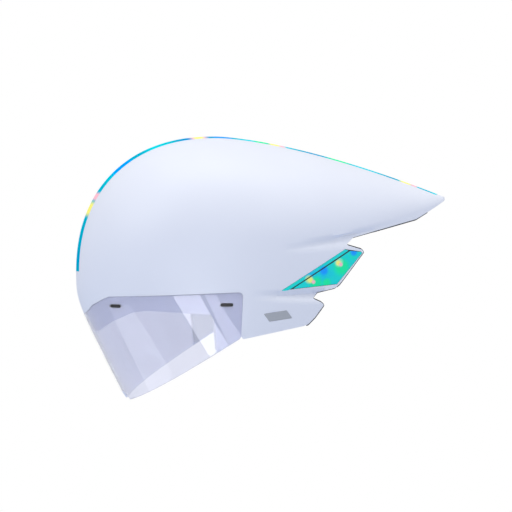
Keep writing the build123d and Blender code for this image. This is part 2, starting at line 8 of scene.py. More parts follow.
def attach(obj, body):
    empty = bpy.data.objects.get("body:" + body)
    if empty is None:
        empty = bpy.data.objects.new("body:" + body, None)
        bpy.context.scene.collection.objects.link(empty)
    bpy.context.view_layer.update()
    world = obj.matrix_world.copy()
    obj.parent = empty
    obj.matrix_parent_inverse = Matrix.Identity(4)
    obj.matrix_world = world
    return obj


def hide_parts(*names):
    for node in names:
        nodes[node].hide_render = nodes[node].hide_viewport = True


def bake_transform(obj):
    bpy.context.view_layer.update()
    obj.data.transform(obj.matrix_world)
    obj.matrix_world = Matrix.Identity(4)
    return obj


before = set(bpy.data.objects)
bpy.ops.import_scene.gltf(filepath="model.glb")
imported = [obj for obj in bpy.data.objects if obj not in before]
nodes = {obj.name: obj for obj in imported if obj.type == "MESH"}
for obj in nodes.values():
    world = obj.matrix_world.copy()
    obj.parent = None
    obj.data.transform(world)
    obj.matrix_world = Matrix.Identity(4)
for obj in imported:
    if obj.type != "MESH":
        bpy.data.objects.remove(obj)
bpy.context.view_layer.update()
print("frame loaded:", len(nodes), "nodes")

# the helmet's form: -x is the brow, +x the tail, -y the wearer's left, in metres
form = {
    "length": 0.360, "height": 0.2542, "brow": 0.120, "crown": 0.015, "crownTop": 0.1097,
    "chin": 0.1445, "halfWidth": 0.098, "browDrop": 0.025, "fullness": 2.28, "tailDrop": 0.059,
    "tailHalf": 0.011, "widest": 0.008, "tailWidest": 0.046, "rake": 27.2, "browRound": 0.0251,
    "sideDepth": 0.258, "tailRise": 0.85, "headPitch": 27.5, "tailFall": 1.5, "tailLift": 1.8,
    "tailTaper": 1.2, "keelBlend": 8, "archPower": 2.2, "archLoss": 0.35, "crownLevel": 0.05,
}
tailEnd = form["length"] - form["brow"]
tailRun = tailEnd - form["crown"]
roundStart = tailEnd - 2 * form["tailHalf"]
rakeSlope = math.tan(math.radians(form["rake"]))


def browShare(x, inset):
    across = min(1.0, (form["crown"] - x) / (form["brow"] + form["crown"] - inset))
    return math.sqrt(max(0.0, 1 - across ** 2))


def ridgeAt(x, inset):
    rise = form["crownTop"] + form["browDrop"] - inset
    if x <= form["crown"]:
        across = min(1.0, (form["crown"] - x) / (form["brow"] + form["crown"] - inset))
        return -form["browDrop"] + rise * (1 - across ** form["fullness"]) ** (1 / form["fullness"])
    fall = ((x - form["crown"]) / tailRun) ** form["tailFall"]
    return rise - form["browDrop"] - form["tailDrop"] * fall


def widestAt(x, inset):
    if x <= form["crown"]:
        return -form["browDrop"] + (form["widest"] + form["browDrop"]) * browShare(x, inset)
    lift = ((x - form["crown"]) / tailRun) ** form["tailLift"]
    return form["widest"] + (form["tailWidest"] - form["widest"]) * lift


def keelAt(x, inset):
    bend = form["browRound"] - inset * (1 / math.cos(math.radians(form["rake"])) - 1) / rakeSlope
    reach = (x + form["brow"] - inset) / rakeSlope + bend
    front = max(0.0, reach ** 3 - bend ** 3) ** (1 / 3) + form["browDrop"] + widestAt(x, inset)
    depth, blend = form["sideDepth"], form["keelBlend"]
    if x > form["crown"]:
        depth *= 1 - form["tailRise"] * ((x - form["crown"]) / tailRun) ** 3
    if front < 1e-6:
        return widestAt(x, inset)
    return widestAt(x, inset) - (front ** -blend + depth ** -blend) ** (-1 / blend)


def halfWidthAt(x, inset):
    if x <= form["crown"]:
        return (form["halfWidth"] - inset) * browShare(x, inset)
    tip = form["tailHalf"] - inset
    along = (x - form["crown"]) / (tailRun - inset)
    width = tip + (form["halfWidth"] - inset - tip) * max(0.0, 1 - along ** 2) ** form["tailTaper"]
    if x > roundStart:
        width *= math.sqrt(max(0.0, 1 - ((x - roundStart) / (tailEnd - inset - roundStart)) ** 2))
    return width


def formPoint(x, across, inset, topShare, lowZ):
    # across runs from -1, low on the left, over the ridge at 0, to 1, low on the right
    side = -1 if across < 0 else 1
    level, width = widestAt(x, inset), halfWidthAt(x, inset)
    share = abs(across)
    if share <= topShare:
        turn = share / topShare * math.pi / 2
        power = form["archPower"]
        if x > form["crown"]:
            power -= form["archLoss"] * (x - form["crown"]) / tailRun
        over, out = math.cos(turn), math.sin(turn)
        reach = (over ** power + out ** power) ** (-1 / power)
        return Vector((x, side * width * reach * out, level + (ridgeAt(x, inset) - level) * reach * over))
    depth = level - keelAt(x, inset)
    last = math.asin(min(1.0, max(0.0, (level - lowZ) / depth))) if depth > 1e-6 else math.pi / 2
    turn = (share - topShare) / (1 - topShare) * last
    return Vector((x, side * width * math.cos(turn), level - depth * math.sin(turn)))


# two scooped creases a side, between an upper and a lower line, in x and z
creases = {
    "upper": {
        "top": [(0.066, 0.002), (0.081, 0.0065), (0.1165, 0.0125), (0.134, 0.0172), (0.190, 0.0285),
                (0.214, 0.035)],
        "low": [(0.066, 0.0005), (0.0745, 0.0004), (0.101, 0.0020), (0.134, 0.0040), (0.165, 0.0150),
                (0.214, 0.0310)],
        "depth": [(0.066, 0), (0.100, 0.0022), (0.134, 0.0046), (0.160, 0.0022), (0.214, 0)],
    },
    "lower": {
        "top": [(0.036, -0.0412), (0.051, -0.0402), (0.076, -0.0388), (0.110, -0.0368)],
        "low": [(0.036, -0.0425), (0.051, -0.0446), (0.069, -0.0464), (0.110, -0.0474)],
        "depth": [(0.036, 0), (0.060, 0.0022), (0.080, 0.0042), (0.100, 0.0058), (0.110, 0.0058)],
    },
}
creaseShape = {"least": 0.0015, "margin": 0.0012, "steep": 0.22, "offMiddle": 0.02}


def alongTable(table, x):
    for (x0, v0), (x1, v1) in zip(table, table[1:]):
        if x0 <= x <= x1:
            share = (x - x0) / (x1 - x0)
            return v0 + (v1 - v0) * share
    return None


def creaseDepth(x, z):
    # steep under the upper line, then easing out to the lower one
    total, margin, steep = 0.0, creaseShape["margin"], creaseShape["steep"]
    for lines in creases.values():
        top, low, depth = (alongTable(lines[k], x) for k in ("top", "low", "depth"))
        if top is None or not depth:
            continue
        wide = max(top - low, creaseShape["least"])
        share = (top + margin - z) / (wide + 2 * margin)
        if 0 < share < 1:
            rise = share / steep if share < steep else (1 - share) / (1 - steep)
            total += depth * rise * rise * (3 - 2 * rise)
    return total


def pushIntoCrease(v):
    if abs(v.co.y) > creaseShape["offMiddle"]:
        v.co.y -= math.copysign(creaseDepth(v.co.x, v.co.z), v.co.y)


def roundCorners(points, radius, steps, most=0.45):
    # each corner of a closed outline becomes a short curve, over no more than this share of a side
    out = []
    for i, corner in enumerate(points):
        before, after, c = Vector(points[i - 1]), Vector(points[(i + 1) % len(points)]), Vector(corner)
        a, b = (before - c), (after - c)
        turn = math.pi - a.angle(b)
        tangent = min(radius * math.tan(turn / 2), most * a.length, most * b.length)
        if tangent < 1e-5:
            out.append(tuple(c))
            continue
        p, q = c + a.normalized() * tangent, c + b.normalized() * tangent
        for k in range(steps + 1):
            s = k / steps
            out.append(tuple(p * (1 - s) ** 2 + c * (2 * s * (1 - s)) + q * s ** 2))
    return out


def grownOutline(points, amount):
    # moves every side of a closed outline outwards by an amount
    area = sum(p[0] * q[1] - q[0] * p[1] for p, q in zip(points, points[1:] + points[:1]))
    sign = 1 if area > 0 else -1
    out = []
    for i, corner in enumerate(points):
        c = Vector(corner)
        a = (c - Vector(points[i - 1])).normalized()
        b = (Vector(points[(i + 1) % len(points)]) - c).normalized()
        na, nb = Vector((a.y, -a.x)) * sign, Vector((b.y, -b.x)) * sign
        mid = na + nb
        out.append(tuple(c + mid * (amount * 2 / max(mid.length_squared, 0.5))))
    return out


def spot(share):
    # a place on the side, given in shares of the whole length and height
    return (-form["brow"] + share[0] * form["length"], -form["chin"] + share[1] * form["height"])


outlines = {
    "shellEdge": [(0.416, 0.243), (0.582, 0.290), (0.594, 0.296), (0.6125, 0.321), (0.638, 0.368), (0.630, 0.378),
                  (0.606, 0.393), (0.621, 0.416), (0.669, 0.431), (0.682, 0.445), (0.752, 0.566), (0.745, 0.575),
                  (0.700, 0.593), (0.723, 0.621), (0.777, 0.641), (0.909, 0.686), (0.946, 0.714), (0.998, 0.754),
                  (1.06, 0.79), (1.06, 1.05), (-0.05, 1.05), (-0.05, 0.10), (0.30, 0.17), (0.403, 0.264)],
    "lens": [(-0.014, 0.236), (0.017, 0.320), (0.033, 0.365), (0.054, 0.386), (0.070, 0.399), (0.212, 0.407),
             (0.414, 0.419), (0.410, 0.247), (0.133, 0.0), (0.118, -0.0095), (-0.06, -0.0095)],
    "panel": [(0.545, 0.428), (0.712, 0.571), (0.744, 0.567), (0.7475, 0.561), (0.6745, 0.445)],
    "strip": [(0.514, 0.4215), (0.697, 0.577), (0.7095, 0.5722), (0.5375, 0.4238)],
    "pocket": [(0.514, 0.4215), (0.697, 0.577), (0.708, 0.5745), (0.744, 0.567), (0.7475, 0.561),
               (0.6745, 0.445), (0.545, 0.428), (0.536, 0.426)],
    "badge": [(0.470, 0.338), (0.533, 0.350), (0.549, 0.320), (0.486, 0.308)],
    "frontMagnet": (0.0875, 0.3646), "rearMagnet": (0.3705, 0.3725),
    "magnetLengths": (0.0093, 0.0125), "magnetHeight": 0.0034,
}
# each outline's corner radius, and the steps in a corner
corners = {"shellEdge": (0.0016, 4), "lens": (0.005, 6), "panel": (0.0010, 3), "strip": (0.0008, 3),
           "pocket": (0.0008, 3), "badge": (0.0008, 3)}
shellOutline, lensOutline, panelOutline, stripOutline, pocketOutline, badgeOutline = (
    roundCorners([spot(share) for share in outlines[key]], *corner) for key, corner in corners.items())


def pillOutline(centre, length, height):
    x, z = spot(centre)
    r, half = height / 2, length / 2 - height / 2
    arc = [math.radians(t) for t in range(-90, 91, 18)]
    right = [(x + half + r * math.cos(t), z + r * math.sin(t)) for t in arc]
    return right + [(x - half - r * math.cos(t), z - r * math.sin(t)) for t in arc]


stripe = {
    "wide": 0.020, "front": 0.012, "tail": 0.007, "tailGap": 0.007, "frontLevel": -0.020,
    "browEnd": -0.14, "browSlack": 0.0004, "sideLevel": -0.026, "levelCut": (-0.13, -0.09),
    "slack": 0.00012, "lift": 0.0001, "reach": 0.026, "below": 0.01, "besideCut": 0.03,
}


def stripeOutline(slack):
    # the ridge stripe in plan: widest at the crown, with a round end at the tail
    narrow, back = stripe["tail"] - slack, tailEnd - stripe["tailGap"] - slack
    edge = []
    for k in range(13):
        share = 1 - k / 12
        edge.append((form["crown"] - (form["brow"] + stripe["browSlack"] + form["crown"]) * share,
                     stripe["front"] + (stripe["wide"] - stripe["front"]) * (1 - share ** 2) - slack))
    edge[0] = (stripe["browEnd"], edge[0][1])
    for k in range(1, 15):
        share = k / 14
        edge.append((form["crown"] + (back - narrow - form["crown"]) * share,
                     stripe["tail"] + (stripe["wide"] - stripe["tail"]) * (1 - share ** 2) - slack))
    end = [(back - narrow + narrow * math.cos(math.radians(t)), narrow * math.sin(math.radians(t)))
           for t in range(70, -71, -20)]
    return edge + end + [(x, -y) for x, y in reversed(edge)]


def insideOutline(points, u, v):
    inside = False
    for (x0, y0), (x1, y1) in zip(points, points[1:] + points[:1]):
        if (y0 > v) != (y1 > v) and u < (x1 - x0) * (v - y0) / (y1 - y0) + x0:
            inside = not inside
    return inside


def formSheet(spec):
    # a grid laid over the form and pulled onto it
    bm = bmesh.new()
    bmesh.ops.create_grid(bm, x_segments=spec["along"], y_segments=spec["around"], size=0.5)
    inset, lowZ = spec["inset"], spec["lowZ"]
    reach = form["brow"] + form["crown"] - inset
    x0, x1 = spec.get("span", (-form["brow"] + inset, tailEnd - inset))
    for v in bm.verts:
        t, across = v.co.x + 0.5, v.co.y * 2
        if x0 < form["crown"]:
            # finer steps where the brow turns
            start = math.acos(min(1.0, (form["crown"] - x0) / reach))
            noseShare = spec["noseShare"]
            if t < noseShare:
                turn = start + (math.pi / 2 - start) * t / noseShare
                x = form["crown"] - reach * math.cos(turn)
            else:
                x = form["crown"] + (x1 - form["crown"]) * (t - noseShare) / (1 - noseShare)
        else:
            x = x0 + (x1 - x0) * t
        if "sideFrom" in spec:
            # only the sides, from one level down
            widest = widestAt(x, inset)
            depth = widest - keelAt(x, inset)
            deep = max(depth, 1e-6)
            first = math.asin(min(1.0, (widest - min(spec["sideFrom"], widest)) / deep))
            final = math.asin(min(1.0, max(0.0, (widest - lowZ) / deep)))
            turn = first + (final - first) * (1 - abs(across))
            side = -1 if across < 0 else 1
            v.co = (x, side * halfWidthAt(x, inset) * math.cos(turn), widest - depth * math.sin(turn))
        else:
            v.co = formPoint(x, across, inset, spec["topShare"], lowZ)
        if spec.get("creased"):
            pushIntoCrease(v)
    bmesh.ops.remove_doubles(bm, verts=bm.verts, dist=2e-5)
    bmesh.ops.dissolve_degenerate(bm, edges=bm.edges, dist=1e-6)
    bmesh.ops.recalc_face_normals(bm, faces=bm.faces)
    # the outermost face tells whether the sheet is inside out
    high = [f for f in bm.faces if f.calc_center_median().z > form["crownLevel"]] or list(bm.faces)
    outer = max(high, key=lambda f: abs(f.calc_center_median().y))
    if outer.normal.y * outer.calc_center_median().y < 0:
        bmesh.ops.reverse_faces(bm, faces=bm.faces)
    return bm


def cutAlong(bm, points, cell, axes=(0, 2), where=None):
    # scores the sheet along a closed outline, through its whole width, in the faces near each side
    u, w = axes
    for p, q in zip(points, points[1:] + points[:1]):
        a, b = Vector(p), Vector(q)
        run = b - a
        if run.length < 1e-6:
            continue
        near = []
        for f in bm.faces:
            c = f.calc_center_median()
            if where and not where(c):
                continue
            d = Vector((c[u], c[w])) - a
            share = min(1.0, max(0.0, d.dot(run) / run.length_squared))
            if (d - run * share).length < cell:
                near.append(f)
        if not near:
            continue
        geom = set(near)
        for f in near:
            geom.update(f.edges)
            geom.update(f.verts)
        origin, normal = [0.0, 0.0, 0.0], [0.0, 0.0, 0.0]
        origin[u], origin[w] = a.x, a.y
        normal[u], normal[w] = -run.y, run.x
        bmesh.ops.bisect_plane(bm, geom=list(geom), dist=2e-6, plane_co=origin,
                               plane_no=Vector(normal).normalized())


def dropFaces(bm, test):
    bmesh.ops.delete(bm, geom=[f for f in bm.faces if test(f.calc_center_median())], context="FACES")


def dropLoose(bm):
    bmesh.ops.delete(bm, geom=[v for v in bm.verts if not v.link_faces], context="VERTS")


def tidySheet(bm):
    bmesh.ops.remove_doubles(bm, verts=bm.verts, dist=1.5e-5)
    bmesh.ops.dissolve_degenerate(bm, edges=bm.edges, dist=2e-6)
    bmesh.ops.triangulate(bm, faces=[f for f in bm.faces if len(f.verts) > 4])
    dropLoose(bm)


def finishMesh(bm, name, material, sharpTurn=40):
    for f in bm.faces:
        f.smooth = True
    for e in bm.edges:
        if len(e.link_faces) == 2 and e.calc_face_angle(0) > math.radians(sharpTurn):
            e.smooth = False
    mesh = bpy.data.meshes.new(name)
    bm.to_mesh(mesh)
    bm.free()
    piece = bpy.data.objects.new(name, mesh)
    bpy.context.scene.collection.objects.link(piece)
    if material:
        mesh.materials.append(material)
    return piece


def addModifier(piece, kind, **values):
    m = piece.modifiers.new(kind.title(), kind)
    for key, value in values.items():
        setattr(m, key, value)
    return m


def applyModifiers(piece):
    graph = bpy.context.evaluated_depsgraph_get()
    mesh = bpy.data.meshes.new_from_object(piece.evaluated_get(graph), preserve_all_data_layers=True,
                                           depsgraph=graph)
    piece.modifiers.clear()
    piece.data = mesh


rims = {"bevelOver": 55, "sharpOver": 38}  # degrees


def bevelEdges(piece, width, segments=2, turn=rims["bevelOver"], **values):
    addModifier(piece, "BEVEL", width=width, segments=segments, limit_method="ANGLE",
                angle_limit=math.radians(turn), profile=0.5, **values)
    applyModifiers(piece)


def shadeSmooth(bm):
    for f in bm.faces:
        f.smooth = True
    for e in bm.edges:
        if len(e.link_faces) == 2:
            e.smooth = e.calc_face_angle(0) < math.radians(rims["sharpOver"])


def giveWall(piece, wall, soften, segments=2, rim=0):
    # a wall inwards from the outer surface, with softened rims
    addModifier(piece, "SOLIDIFY", thickness=wall, offset=-1, use_even_offset=False, material_offset_rim=rim)
    applyModifiers(piece)
    if soften:
        bevelEdges(piece, soften, segments, miter_outer="MITER_ARC")
    bm = bmesh.new()
    bm.from_mesh(piece.data)
    shadeSmooth(bm)
    bm.to_mesh(piece.data)
    bm.free()


def newGroup(name, inputs, outputs):
    group = bpy.data.node_groups.new(name, "ShaderNodeTree")
    for title, kind, value in inputs:
        socket = group.interface.new_socket(title, in_out="INPUT", socket_type=kind)
        if value is not None:
            socket.default_value = value
    for title, kind in outputs:
        group.interface.new_socket(title, in_out="OUTPUT", socket_type=kind)
    return group, group.nodes.new("NodeGroupInput"), group.nodes.new("NodeGroupOutput")


def link(tree, a, b):
    tree.links.new(a, b)


effects = {"grainDetail": 3, "grainPatches": 22, "weaveWaver": 0.6}


def buildGrainGroup():
    # fine moulded grain: a height for bump and a small spread of roughness
    g, i, o = newGroup("mouldedGrain",
                       [("Vector", "NodeSocketVector", None), ("Scale", "NodeSocketFloat", 900.0),
                        ("Roughness", "NodeSocketFloat", 0.4), ("Spread", "NodeSocketFloat", 0.06)],
                       [("Height", "NodeSocketFloat"), ("Roughness", "NodeSocketFloat")])
    fine = g.nodes.new("ShaderNodeTexNoise")
    fine.inputs["Detail"].default_value = effects["grainDetail"]
    broad = g.nodes.new("ShaderNodeTexNoise")
    broad.inputs["Scale"].default_value = effects["grainPatches"]
    link(g, i.outputs["Vector"], fine.inputs["Vector"])
    link(g, i.outputs["Scale"], fine.inputs["Scale"])
    link(g, i.outputs["Vector"], broad.inputs["Vector"])
    link(g, fine.outputs["Fac"], o.inputs["Height"])
    centred = g.nodes.new("ShaderNodeMath")
    centred.operation = "SUBTRACT"
    centred.inputs[1].default_value = 0.5
    spread = g.nodes.new("ShaderNodeMath")
    spread.operation = "MULTIPLY_ADD"
    link(g, broad.outputs["Fac"], centred.inputs[0])
    link(g, centred.outputs[0], spread.inputs[0])
    link(g, i.outputs["Spread"], spread.inputs[1])
    link(g, i.outputs["Roughness"], spread.inputs[2])
    link(g, spread.outputs[0], o.inputs["Roughness"])
    return g


def buildWeaveGroup():
    # plain weave from two crossed waves, in the piece's own coordinates
    g, i, o = newGroup("plainWeave",
                       [("Vector", "NodeSocketVector", None), ("Scale", "NodeSocketFloat", 700.0)],
                       [("Height", "NodeSocketFloat"), ("Mask", "NodeSocketFloat")])
    waves = []
    for direction in ("X", "Z"):
        wave = g.nodes.new("ShaderNodeTexWave")
        wave.bands_direction = direction
        wave.inputs["Distortion"].default_value = effects["weaveWaver"]
        link(g, i.outputs["Vector"], wave.inputs["Vector"])
        link(g, i.outputs["Scale"], wave.inputs["Scale"])
        waves.append(wave)
    both = g.nodes.new("ShaderNodeMath")
    both.operation = "MULTIPLY"
    link(g, waves[0].outputs["Fac"], both.inputs[0])
    link(g, waves[1].outputs["Fac"], both.inputs[1])
    link(g, both.outputs[0], o.inputs["Height"])
    link(g, both.outputs[0], o.inputs["Mask"])
    return g


grainGroup = buildGrainGroup()
weaveGroup = buildWeaveGroup()


def startMaterial(name):
    material = bpy.data.materials.new(name)
    material.use_nodes = True
    return material, material.node_tree, material.node_tree.nodes["Principled BSDF"]


def objectCoordinates(tree):
    return tree.nodes.new("ShaderNodeTexCoord").outputs["Object"]


mouldedLook = {"grain": 900, "spread": 0.05, "bump": 0.12, "depth": 0.0002, "driftScale": 9, "ramp": (0.35, 0.7)}


def mouldedMaterial(name, look):
    # one moulded or painted finish: colour that drifts a little, grain and bump
    look = {**mouldedLook, **look}
    material, tree, shader = startMaterial(name)
    coord = objectCoordinates(tree)
    grain = tree.nodes.new("ShaderNodeGroup")
    grain.node_tree = grainGroup
    grain.inputs["Scale"].default_value = look["grain"]
    grain.inputs["Roughness"].default_value = look["roughness"]
    grain.inputs["Spread"].default_value = look["spread"]
    bump = tree.nodes.new("ShaderNodeBump")
    bump.inputs["Strength"].default_value = look["bump"]
    bump.inputs["Distance"].default_value = look["depth"]
    link(tree, coord, grain.inputs["Vector"])
    link(tree, grain.outputs["Height"], bump.inputs["Height"])
    link(tree, grain.outputs["Roughness"], shader.inputs["Roughness"])
    link(tree, bump.outputs["Normal"], shader.inputs["Normal"])
    drift = tree.nodes.new("ShaderNodeTexNoise")
    drift.inputs["Scale"].default_value = look["driftScale"]
    ramp = tree.nodes.new("ShaderNodeValToRGB")
    colours = look["colour"], look["second"]
    for element, colour, position in zip(ramp.color_ramp.elements, colours, look["ramp"]):
        element.color = (*colour, 1)
        element.position = position
    link(tree, coord, drift.inputs["Vector"])
    link(tree, drift.outputs["Fac"], ramp.inputs["Fac"])
    link(tree, ramp.outputs["Color"], shader.inputs["Base Color"])
    for key in ("Metallic", "Specular IOR Level", "Coat Weight"):
        if key in look:
            shader.inputs[key].default_value = look[key]
    return material


clothLook = {"bump": 0.5, "depth": 0.0003, "roughness": 0.85, "sheen": 0.25}


def clothMaterial(name, look):
    # woven cloth: two thread colours, and a bump from the same weave
    material, tree, shader = startMaterial(name)
    coord = objectCoordinates(tree)
    weave = tree.nodes.new("ShaderNodeGroup")
    weave.node_tree = weaveGroup
    weave.inputs["Scale"].default_value = look["weave"]
    bump = tree.nodes.new("ShaderNodeBump")
    bump.inputs["Strength"].default_value = clothLook["bump"]
    bump.inputs["Distance"].default_value = clothLook["depth"]
    mix = tree.nodes.new("ShaderNodeMix")
    mix.data_type = "RGBA"
    mix.inputs[6].default_value = (*look["colour"], 1)
    mix.inputs[7].default_value = (*look["second"], 1)
    link(tree, coord, weave.inputs["Vector"])
    link(tree, weave.outputs["Mask"], mix.inputs[0])
    link(tree, weave.outputs["Height"], bump.inputs["Height"])
    link(tree, mix.outputs[2], shader.inputs["Base Color"])
    link(tree, bump.outputs["Normal"], shader.inputs["Normal"])
    shader.inputs["Roughness"].default_value = clothLook["roughness"]
    shader.inputs["Sheen Weight"].default_value = clothLook["sheen"]
    return material


filmLook = {"ramp": (0.30, 0.72), "detail": 1.5, "spotCore": 0.35, "paintedGlow": 0.08, "coatRoughness": 0.1}


def filmMaterial(name, look):
    # film whose colours drift, with soft coloured spots at given places in x and z
    low, high = filmLook["ramp"]
    material, tree, shader = startMaterial(name)
    coord = objectCoordinates(tree)
    flat = tree.nodes.new("ShaderNodeVectorMath")
    flat.operation = "MULTIPLY"
    flat.inputs[1].default_value = (1, 0, 1)
    link(tree, coord, flat.inputs[0])
    drift = tree.nodes.new("ShaderNodeTexNoise")
    drift.inputs["Scale"].default_value = look["driftScale"]
    drift.inputs["Detail"].default_value = filmLook["detail"]
    link(tree, flat.outputs[0], drift.inputs["Vector"])
    ramp = tree.nodes.new("ShaderNodeValToRGB")
    ramp.color_ramp.elements[0].position = low
    ramp.color_ramp.elements[0].color = (*look["colours"][0], 1)
    ramp.color_ramp.elements[1].position = high
    ramp.color_ramp.elements[1].color = (*look["colours"][-1], 1)
    for k, between in enumerate(look["colours"][1:-1]):
        element = ramp.color_ramp.elements.new(low + (high - low) * (k + 1) / (len(look["colours"]) - 1))
        element.color = (*between, 1)
    link(tree, drift.outputs["Fac"], ramp.inputs["Fac"])
    colour = ramp.outputs["Color"]
    for x, z, radius, tint in look["spots"]:
        away = tree.nodes.new("ShaderNodeVectorMath")
        away.operation = "DISTANCE"
        away.inputs[1].default_value = (x, 0, z)
        near = tree.nodes.new("ShaderNodeMapRange")
        near.interpolation_type = "SMOOTHSTEP"
        near.inputs["From Min"].default_value = radius
        near.inputs["From Max"].default_value = radius * filmLook["spotCore"]
        mix = tree.nodes.new("ShaderNodeMix")
        mix.data_type = "RGBA"
        mix.inputs[7].default_value = (*tint, 1)
        link(tree, flat.outputs[0], away.inputs[0])
        link(tree, away.outputs["Value"], near.inputs["Value"])
        link(tree, near.outputs["Result"], mix.inputs[0])
        link(tree, colour, mix.inputs[6])
        colour = mix.outputs[2]
    link(tree, colour, shader.inputs["Base Color"])
    # painted glow: the film gives off a little light in its own colours
    link(tree, colour, shader.inputs["Emission Color"])
    shader.inputs["Emission Strength"].default_value = filmLook["paintedGlow"]
    shader.inputs["Roughness"].default_value = look["roughness"]
    shader.inputs["Specular IOR Level"].default_value = look["shine"]
    shader.inputs["Coat Weight"].default_value = look["coat"]
    shader.inputs["Coat Roughness"].default_value = filmLook["coatRoughness"]
    return material


teal, blue, green = (0.0, 0.70, 0.66), (0.0, 0.34, 1.0), (0.0, 0.86, 0.36)
yellow, pink, deep = (1.0, 0.92, 0.22), (1.0, 0.52, 0.60), (0.0, 0.42, 0.60)
ink, sea, lime, mint = (0.0, 0.24, 0.66), (0.0, 0.68, 0.76), (0.62, 0.86, 0.30), (0.35, 0.85, 0.55)
looks = {
    "shell": {"colour": (0.80, 0.825, 0.90), "second": (0.82, 0.845, 0.92), "roughness": 0.42, "grain": 2600,
              "bump": 0.05, "depth": 0.00008, "Specular IOR Level": 0.45},
    "badge": {"colour": (0.42, 0.44, 0.47), "second": (0.46, 0.48, 0.51), "roughness": 0.25, "Coat Weight": 0.4},
    # painted shade: the ledge is white like the shell, and is coloured darker and bluer for the shade in the
    # recess under the visor
    "frame": {"colour": (0.54, 0.58, 0.74), "second": (0.57, 0.61, 0.77), "roughness": 0.5, "grain": 1800},
    "foam": {"colour": (0.74, 0.745, 0.77), "second": (0.80, 0.805, 0.83), "roughness": 0.75, "grain": 420,
             "bump": 0.6, "depth": 0.0006},
    "plastic": {"colour": (0.018, 0.018, 0.02), "second": (0.026, 0.026, 0.028), "roughness": 0.48, "grain": 1500,
                "bump": 0.2},
    "rubber": {"colour": (0.014, 0.014, 0.015), "second": (0.02, 0.02, 0.021), "roughness": 0.62, "grain": 1200},
    "magnet": {"colour": (0.012, 0.012, 0.015), "second": (0.02, 0.02, 0.024), "roughness": 0.32, "Metallic": 0.3},
    "steel": {"colour": (0.55, 0.55, 0.57), "second": (0.62, 0.62, 0.64), "roughness": 0.28, "Metallic": 1.0},
}
shellMaterial = mouldedMaterial("shellWhite", looks["shell"])
badgeMaterial = mouldedMaterial("badgeGrey", looks["badge"])
frameMaterial = mouldedMaterial("ledgePaintedShade", looks["frame"])
foamMaterial = mouldedMaterial("foamWhite", looks["foam"])
plasticMaterial = mouldedMaterial("plasticBlack", looks["plastic"])
rubberMaterial = mouldedMaterial("rubberBlack", looks["rubber"])
magnetMaterial = mouldedMaterial("magnetBlack", looks["magnet"])
steelMaterial = mouldedMaterial("steelBright", looks["steel"])
# two thread colours each, and a weave that is finer the larger its number
padMaterial = clothMaterial("padKnit", {
    "colour": (0.03, 0.03, 0.034), "second": (0.055, 0.055, 0.06), "weave": 420})
webMaterial = clothMaterial("webbingBlack", {
    "colour": (0.018, 0.018, 0.02), "second": (0.04, 0.04, 0.043), "weave": 640})
hookMaterial = clothMaterial("hookTape", {
    "colour": (0.03, 0.03, 0.03), "second": (0.07, 0.07, 0.07), "weave": 900})
laceMaterial = clothMaterial("laceCord", {
    "colour": (0.02, 0.02, 0.02), "second": (0.06, 0.06, 0.06), "weave": 1500})
panelMaterial = filmMaterial("filmPanel", {
    "driftScale": 26, "shine": 0.3, "coat": 0.12, "roughness": 0.30, "colours": [blue, teal, teal, green],
    "spots": [(0.1275, -0.0150, 0.0110, green), (0.101, -0.0300, 0.0090, green), (0.094, -0.0262, 0.0052, lime),
              (0.0955, -0.0270, 0.0034, yellow), (0.0985, -0.0288, 0.0026, pink), (0.1245, -0.0105, 0.0056, mint),
              (0.1240, -0.0110, 0.0036, yellow), (0.1265, -0.0125, 0.0026, pink), (0.109, -0.0180, 0.0060, blue),
              (0.1400, -0.0010, 0.0050, blue), (0.112, -0.030, 0.006, green)],
})
stripeMaterial = filmMaterial("filmStripe", {
    "driftScale": 14, "shine": 0.0, "coat": 0.0, "roughness": 0.45, "colours": [ink, deep, sea, deep, sea],
    "spots": [(-0.003, 0.110, 0.011, pink), (-0.003, 0.110, 0.007, yellow), (0.071, 0.100, 0.009, yellow),
              (0.078, 0.098, 0.005, pink), (0.201, 0.066, 0.009, yellow), (0.209, 0.063, 0.005, pink),
              (-0.107, 0.040, 0.010, yellow), (-0.1005, 0.0515, 0.006, pink), (0.234, 0.052, 0.013, sea),
              (0.058, 0.104, 0.010, green), (0.020, 0.109, 0.012, blue), (-0.075, 0.078, 0.016, blue),
              (0.135, 0.090, 0.016, green)],
})


def visorMaterial(look):
    material, _, shader = startMaterial("visorClear")
    shader.inputs["Base Color"].default_value = (*look["tint"], 1)
    shader.inputs["Transmission Weight"].default_value = look["clear"]
    shader.inputs["IOR"].default_value = look["ior"]
    shader.inputs["Roughness"].default_value = look["roughness"]
    return material


lensLook = {"tint": (0.862, 0.876, 0.985), "clear": 0.80, "ior": 1.5, "roughness": 0.0}
lensMaterial = visorMaterial(lensLook)
# painted highlight: the lens's cut edges are pale and opaque, as a light line along the visor's edges
rimHighlightMaterial = mouldedMaterial("visorRimHighlight", {
    "colour": (0.86, 0.88, 0.96), "second": (0.90, 0.92, 1.0), "roughness": 0.3})
print("materials made")

shellSheet = {
    "along": 230, "around": 190, "inset": 0.0, "topShare": 0.55, "lowZ": -0.100, "noseShare": 0.42,
    "creased": True, "wall": 0.0019, "cell": 0.0042, "lensGap": 0.0002, "soften": 0.0005, "rimSteps": 3,
}


def aboveStripe(c):
    return c.z > stripe["sideLevel"]


def cutLevel(bm, level, cell, where=None):
    # a level cut at the stripe's front end
    start, end = stripe["levelCut"]
    cutAlong(bm, [(start, level), (end, level)], cell, (0, 2), where)


